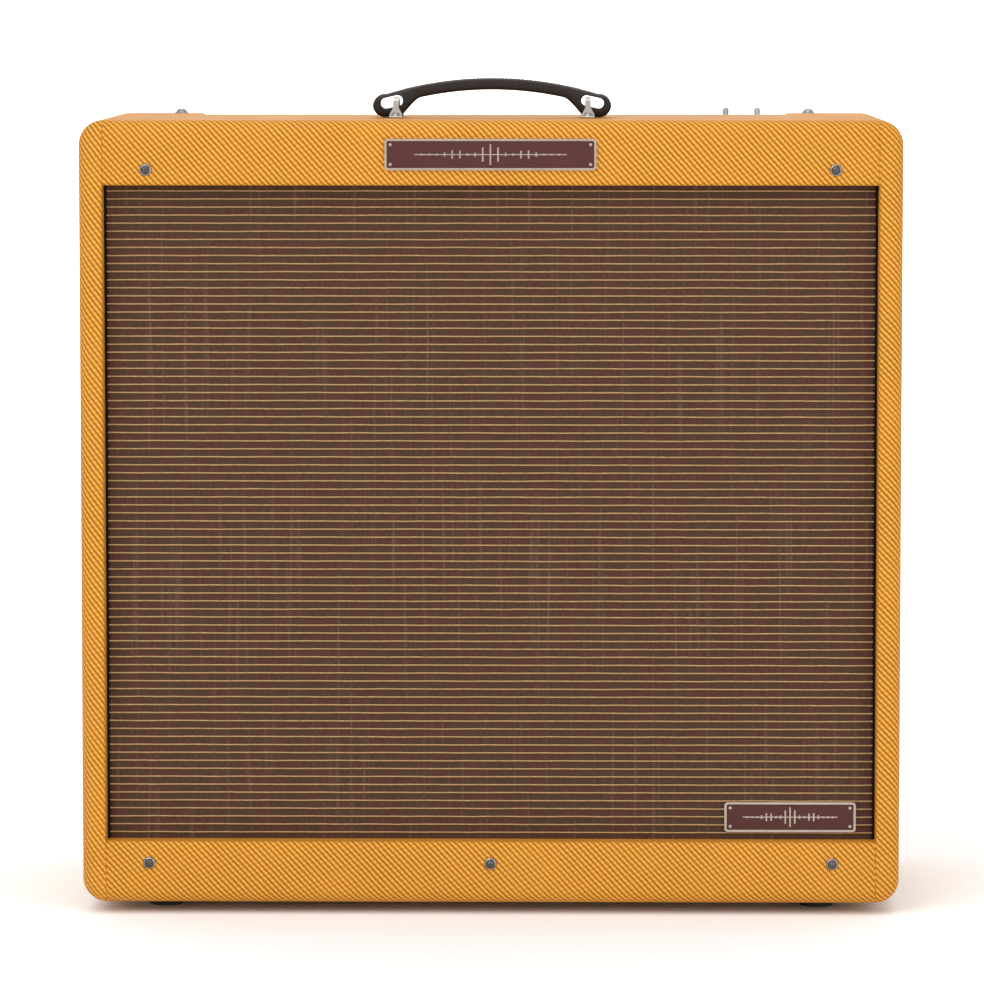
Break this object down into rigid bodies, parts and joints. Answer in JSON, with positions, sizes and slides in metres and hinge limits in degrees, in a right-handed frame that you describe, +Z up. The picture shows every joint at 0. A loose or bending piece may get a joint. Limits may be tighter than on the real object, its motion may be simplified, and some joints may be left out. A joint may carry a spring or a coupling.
{
  "type": "guitar amplifier",
  "caption": "Tweed-covered combo guitar amplifier with loudspeakers on a baffle, a striped grille cloth, an open back, a carrying handle and top-mounted controls.",
  "frame": {"origin": "on the floor under the middle of the cabinet, at the underside of the feet", "axes": "+Z up; -Y towards the listener, the way the grille faces; +X to the right as seen from the front"},
  "size_m": [0.597, 0.2734, 0.6085],
  "materials": {
    "pine": "bare pine, satin",
    "plywood": "birch plywood",
    "tweed": "woven tweed under clear lacquer",
    "grille_cloth": "dark red-brown cloth with gold stripes",
    "nickel": "nickel plate",
    "chassis_steel": "zinc-plated steel",
    "polished_panel": "bright chrome",
    "black_plastic": "black moulded plastic",
    "jewel": "faceted red jewel",
    "circuit_board": "green solder mask with parts",
    "rubber": "matt black rubber",
    "lead": "black insulated lead",
    "handle": "dark brown moulded leather-look strap",
    "badge": "dark red field with a raised nickel border",
    "basket_paint": "black painted pressed steel",
    "magnet": "grey painted steel can",
    "paper_cone": "dark felted paper"
  },
  "bodies": {
    "cabinet": {"amplifier_module": "circuit_board", "back_panel_tweed": "tweed", "badge_grille": "badge", "badge_main": "badge", "baffle_board": "plywood", "bottom_board": "pine", "bracket_screws": "nickel", "chassis_bolts": "nickel", "chassis_cover": "chassis_steel", "chassis_tray": "chassis_steel", "cleats": "pine", "control_panel": "polished_panel", "feet": "rubber", "finishing_washers": "nickel", "front_bottom_rail": "pine", "front_top_panel": "pine", "grille_cloth": "grille_cloth", "handle_brackets": "nickel", "jack_sockets": "black_plastic", "lamp_bezel": "polished_panel", "lamp_jewel": "jewel", "left_board": "pine", "lower_back_panel": "plywood", "main_board": "circuit_board", "panel_screws": "nickel", "pots": "polished_panel", "power_inlet": "black_plastic", "power_supply": "circuit_board", "rear_controls": "black_plastic", "rear_plate": "chassis_steel", "right_board": "pine", "signal_sockets": "black_plastic", "speaker_bolts": "nickel", "speaker_frame_lower_left": "basket_paint", "speaker_frame_lower_right": "basket_paint", "speaker_frame_upper_left": "basket_paint", "speaker_frame_upper_right": "basket_paint", "speaker_leads": "lead", "speaker_magnets": "magnet", "toggle_switches": "polished_panel", "top_board": "pine", "tweed_covering": "tweed", "upper_back_panel": "plywood"},
    "knob_presence": {"knob_presence": "black_plastic"},
    "knob_middle": {"knob_middle": "black_plastic"},
    "knob_bass": {"knob_bass": "black_plastic"},
    "knob_treble": {"knob_treble": "black_plastic"},
    "knob_volume_bright": {"knob_volume_bright": "black_plastic"},
    "knob_volume_normal": {"knob_volume_normal": "black_plastic"},
    "knob_level": {"knob_level": "black_plastic"},
    "knob_selector": {"knob_selector": "black_plastic"},
    "bat_power": {"bat_power": "polished_panel"},
    "bat_standby": {"bat_standby": "polished_panel"},
    "bat_ground_lift": {"bat_ground_lift": "polished_panel"},
    "handle": {"handle": "handle"},
    "speaker_cone_upper_left": {"speaker_cone_upper_left": "paper_cone"},
    "speaker_cone_upper_right": {"speaker_cone_upper_right": "paper_cone"},
    "speaker_cone_lower_left": {"speaker_cone_lower_left": "paper_cone"},
    "speaker_cone_lower_right": {"speaker_cone_lower_right": "paper_cone"}
  },
  "joints": [
    {"name": "presence_turn", "type": "hinge", "parent": "cabinet", "child": "knob_presence", "pos_m": [0.092, 0.1055, 0.5639], "axis": [0, 0, 1], "range_deg": [-150, 150]},
    {"name": "middle_turn", "type": "hinge", "parent": "cabinet", "child": "knob_middle", "pos_m": [0.052, 0.1055, 0.5639], "axis": [0, 0, 1], "range_deg": [-150, 150]},
    {"name": "bass_turn", "type": "hinge", "parent": "cabinet", "child": "knob_bass", "pos_m": [0.012, 0.1055, 0.5639], "axis": [0, 0, 1], "range_deg": [-150, 150]},
    {"name": "treble_turn", "type": "hinge", "parent": "cabinet", "child": "knob_treble", "pos_m": [-0.028, 0.1055, 0.5639], "axis": [0, 0, 1], "range_deg": [-150, 150]},
    {"name": "volume_bright_turn", "type": "hinge", "parent": "cabinet", "child": "knob_volume_bright", "pos_m": [-0.068, 0.1055, 0.5639], "axis": [0, 0, 1], "range_deg": [-150, 150]},
    {"name": "volume_normal_turn", "type": "hinge", "parent": "cabinet", "child": "knob_volume_normal", "pos_m": [-0.108, 0.1055, 0.5639], "axis": [0, 0, 1], "range_deg": [-150, 150]},
    {"name": "level_turn", "type": "hinge", "parent": "cabinet", "child": "knob_level", "pos_m": [-0.054, 0.123, 0.5317], "axis": [0, 1, 0], "range_deg": [-150, 150]},
    {"name": "selector_turn", "type": "hinge", "parent": "cabinet", "child": "knob_selector", "pos_m": [-0.112, 0.123, 0.5317], "axis": [0, 1, 0], "range_deg": [0, 150]},
    {"name": "standby_throw", "type": "hinge", "parent": "cabinet", "child": "bat_standby", "pos_m": [0.177, 0.1055, 0.5659], "axis": [1, 0, 0], "range_deg": [0, 26]},
    {"name": "power_throw", "type": "hinge", "parent": "cabinet", "child": "bat_power", "pos_m": [0.201, 0.1055, 0.5659], "axis": [1, 0, 0], "range_deg": [0, 26]},
    {"name": "ground_lift_throw", "type": "hinge", "parent": "cabinet", "child": "bat_ground_lift", "pos_m": [-0.082, 0.125, 0.5317], "axis": [0, 0, 1], "range_deg": [0, 26]},
    {"name": "handle_lift", "type": "slide", "parent": "cabinet", "child": "handle", "axis": [0, 0, 1], "range_m": [0, 0.0025]},
    {"name": "cone_upper_left_excursion", "type": "slide", "parent": "cabinet", "child": "speaker_cone_upper_left", "axis": [0, 1, 0], "range_m": [-0.0025, 0.0025], "stiffness_N_per_m": 1500},
    {"name": "cone_upper_right_excursion", "type": "slide", "parent": "cabinet", "child": "speaker_cone_upper_right", "axis": [0, 1, 0], "range_m": [-0.0025, 0.0025], "stiffness_N_per_m": 1500},
    {"name": "cone_lower_left_excursion", "type": "slide", "parent": "cabinet", "child": "speaker_cone_lower_left", "axis": [0, 1, 0], "range_m": [-0.0025, 0.0025], "stiffness_N_per_m": 1500},
    {"name": "cone_lower_right_excursion", "type": "slide", "parent": "cabinet", "child": "speaker_cone_lower_right", "axis": [0, 1, 0], "range_m": [-0.0025, 0.0025], "stiffness_N_per_m": 1500}
  ]
}
